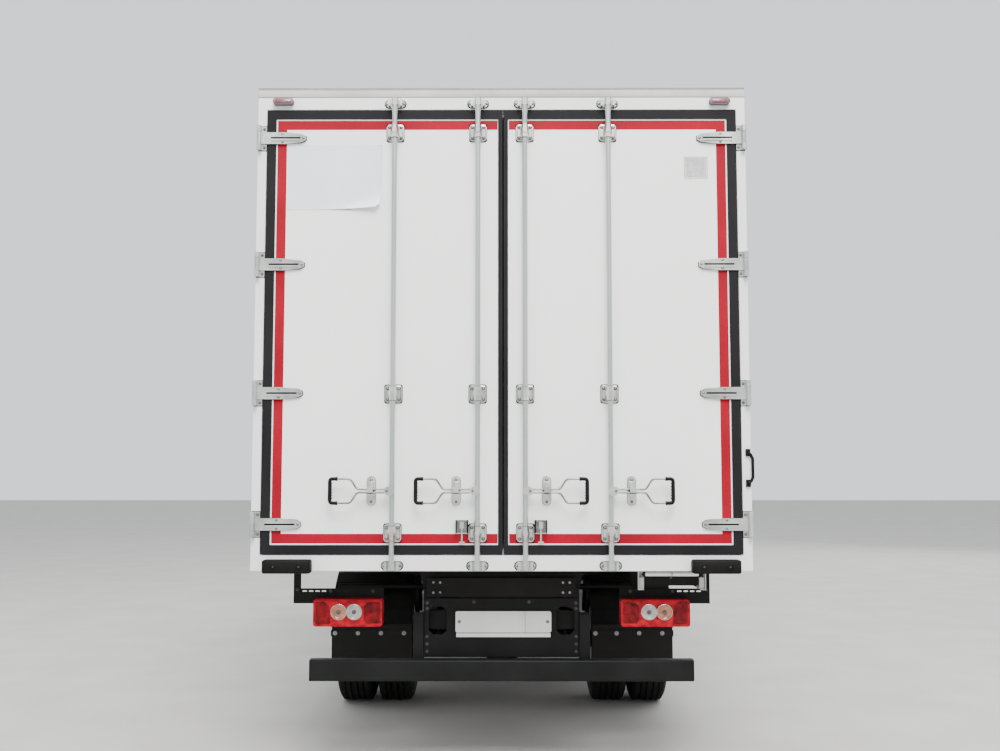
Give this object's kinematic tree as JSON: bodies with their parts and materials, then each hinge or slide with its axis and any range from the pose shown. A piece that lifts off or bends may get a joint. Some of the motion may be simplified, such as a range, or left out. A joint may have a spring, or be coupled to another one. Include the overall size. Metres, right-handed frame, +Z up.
{
  "type": "insulated box truck",
  "caption": "Rigid cab-over truck with an insulated body, twin rear doors with lock bars and strap hinges, tilting cab, steered front wheels and twin rear wheels.",
  "frame": {"origin": "on the ground, in the middle of the overall length and width", "axes": "+X to the vehicle's right, +Y forward, +Z up"},
  "size_m": [2.69, 8.01, 3.6423],
  "materials": {
    "white_panel": "satin white insulated panel",
    "frame_white": "satin white",
    "zinc": "zinc plated",
    "black_rubber": "matte",
    "chassis_paint": "satin dark grey",
    "bar_grey": "satin grey",
    "cast": "painted",
    "tank_metal": "brushed",
    "black_plastic": "matte",
    "lamp_red": "gloss",
    "lamp_clear": "gloss",
    "cab_paint": "gloss white",
    "cab_glass": "tinted",
    "cab_trim": "matte",
    "tyre": "matte",
    "rim_paint": "satin silver",
    "ladder_metal": "satin",
    "seat_cloth": "woven"
  },
  "bodies": {
    "chassis": {"box_floor": "white_panel", "box_side_walls": "white_panel", "box_front_wall": "white_panel", "box_roof": "white_panel", "rear_frame": "frame_white", "frame_fittings": "zinc", "corner_buffers": "black_rubber", "grab_handle": "black_plastic", "chassis_rails": "chassis_paint", "subframe_runners": "chassis_paint", "cross_members": "chassis_paint", "leaf_springs": "chassis_paint", "frame_brackets": "chassis_paint", "axles": "cast", "powertrain": "cast", "propeller_shaft": "cast", "tanks": "tank_metal", "battery_box": "black_plastic", "exhaust": "zinc", "mudguards": "black_plastic", "mud_flaps": "black_rubber", "underrun_bar": "bar_grey", "rear_brackets": "black_plastic", "rear_lamps": "lamp_red", "step_ladder": "ladder_metal", "side_guard_rails": "tank_metal", "side_guard_posts": "tank_metal", "front_bumper": "black_plastic", "headlamps": "lamp_clear"},
    "rear_door_left": {"rear_door_left_panel": "white_panel", "rear_door_left_seal": "black_rubber", "rear_door_left_hinges": "zinc", "rear_door_left_locks": "zinc"},
    "rear_door_right": {"rear_door_right_panel": "white_panel", "rear_door_right_seal": "black_rubber", "rear_door_right_hinges": "zinc", "rear_door_right_locks": "zinc"},
    "cab": {"cab_shell": "cab_paint", "cab_glass": "cab_glass", "grille": "black_plastic", "cab_underframe": "chassis_paint", "seat_pads": "seat_cloth", "cab_interior": "cab_trim", "mirrors": "black_plastic"},
    "cab_door_left": {"cab_door_left_panel": "cab_paint", "cab_door_left_glass": "cab_glass"},
    "cab_door_right": {"cab_door_right_panel": "cab_paint", "cab_door_right_glass": "cab_glass"},
    "steering_knuckle_left": {"steering_knuckle_left": "cast"},
    "steering_knuckle_right": {"steering_knuckle_right": "cast"},
    "track_rod": {"track_rod": "cast"},
    "wheel_front_left": {"wheel_front_left_tyre": "tyre", "wheel_front_left_rim": "rim_paint"},
    "wheel_front_right": {"wheel_front_right_tyre": "tyre", "wheel_front_right_rim": "rim_paint"},
    "wheel_rear_left": {"wheel_rear_left_tyre": "tyre", "wheel_rear_left_rim": "rim_paint"},
    "wheel_rear_right": {"wheel_rear_right_tyre": "tyre", "wheel_rear_right_rim": "rim_paint"}
  },
  "joints": [
    {"name": "rear_door_left_hinge", "type": "hinge", "parent": "chassis", "child": "rear_door_left", "pos_m": [-1.288, -3.95, 2.34], "axis": [0, 0, -1], "range_deg": [0, 255]},
    {"name": "rear_door_right_hinge", "type": "hinge", "parent": "chassis", "child": "rear_door_right", "pos_m": [1.288, -3.95, 2.34], "axis": [0, 0, 1], "range_deg": [0, 255]},
    {"name": "cab_tilt", "type": "hinge", "parent": "chassis", "child": "cab", "pos_m": [0, 3.895, 0.64], "axis": [-1, 0, 0], "range_deg": [0, 50]},
    {"name": "cab_door_left_hinge", "type": "hinge", "parent": "cab", "child": "cab_door_left", "pos_m": [-1.1, 3.805, 1.6], "axis": [0, 0, -1], "range_deg": [0, 70]},
    {"name": "cab_door_right_hinge", "type": "hinge", "parent": "cab", "child": "cab_door_right", "pos_m": [1.1, 3.805, 1.6], "axis": [0, 0, 1], "range_deg": [0, 70]},
    {"name": "steer_left", "type": "hinge", "parent": "chassis", "child": "steering_knuckle_left", "pos_m": [-0.85, 2.72, 0.419], "axis": [0, 0, 1], "range_deg": [-38, 38]},
    {"name": "steer_right", "type": "hinge", "parent": "chassis", "child": "steering_knuckle_right", "pos_m": [0.85, 2.72, 0.419], "axis": [0, 0, 1], "range_deg": [-38, 38]},
    {"name": "track_rod_pivot", "type": "hinge", "parent": "steering_knuckle_left", "child": "track_rod", "pos_m": [-0.85, 2.55, 0.31], "axis": [0, 0, 1], "range_deg": [-38, 38]},
    {"name": "wheel_front_left_spin", "type": "hinge", "parent": "steering_knuckle_left", "child": "wheel_front_left", "pos_m": [-0.98, 2.72, 0.419], "axis": [1, 0, 0], "continuous": true},
    {"name": "wheel_front_right_spin", "type": "hinge", "parent": "steering_knuckle_right", "child": "wheel_front_right", "pos_m": [0.98, 2.72, 0.419], "axis": [1, 0, 0], "continuous": true},
    {"name": "wheel_rear_left_spin", "type": "hinge", "parent": "chassis", "child": "wheel_rear_left", "pos_m": [-0.87, -1.63, 0.419], "axis": [1, 0, 0], "continuous": true},
    {"name": "wheel_rear_right_spin", "type": "hinge", "parent": "chassis", "child": "wheel_rear_right", "pos_m": [0.87, -1.63, 0.419], "axis": [1, 0, 0], "continuous": true}
  ],
  "couplings": [
    {"joint": "steer_right", "follows": "steer_left", "ratio": 1},
    {"joint": "track_rod_pivot", "follows": "steer_left", "ratio": -1}
  ]
}
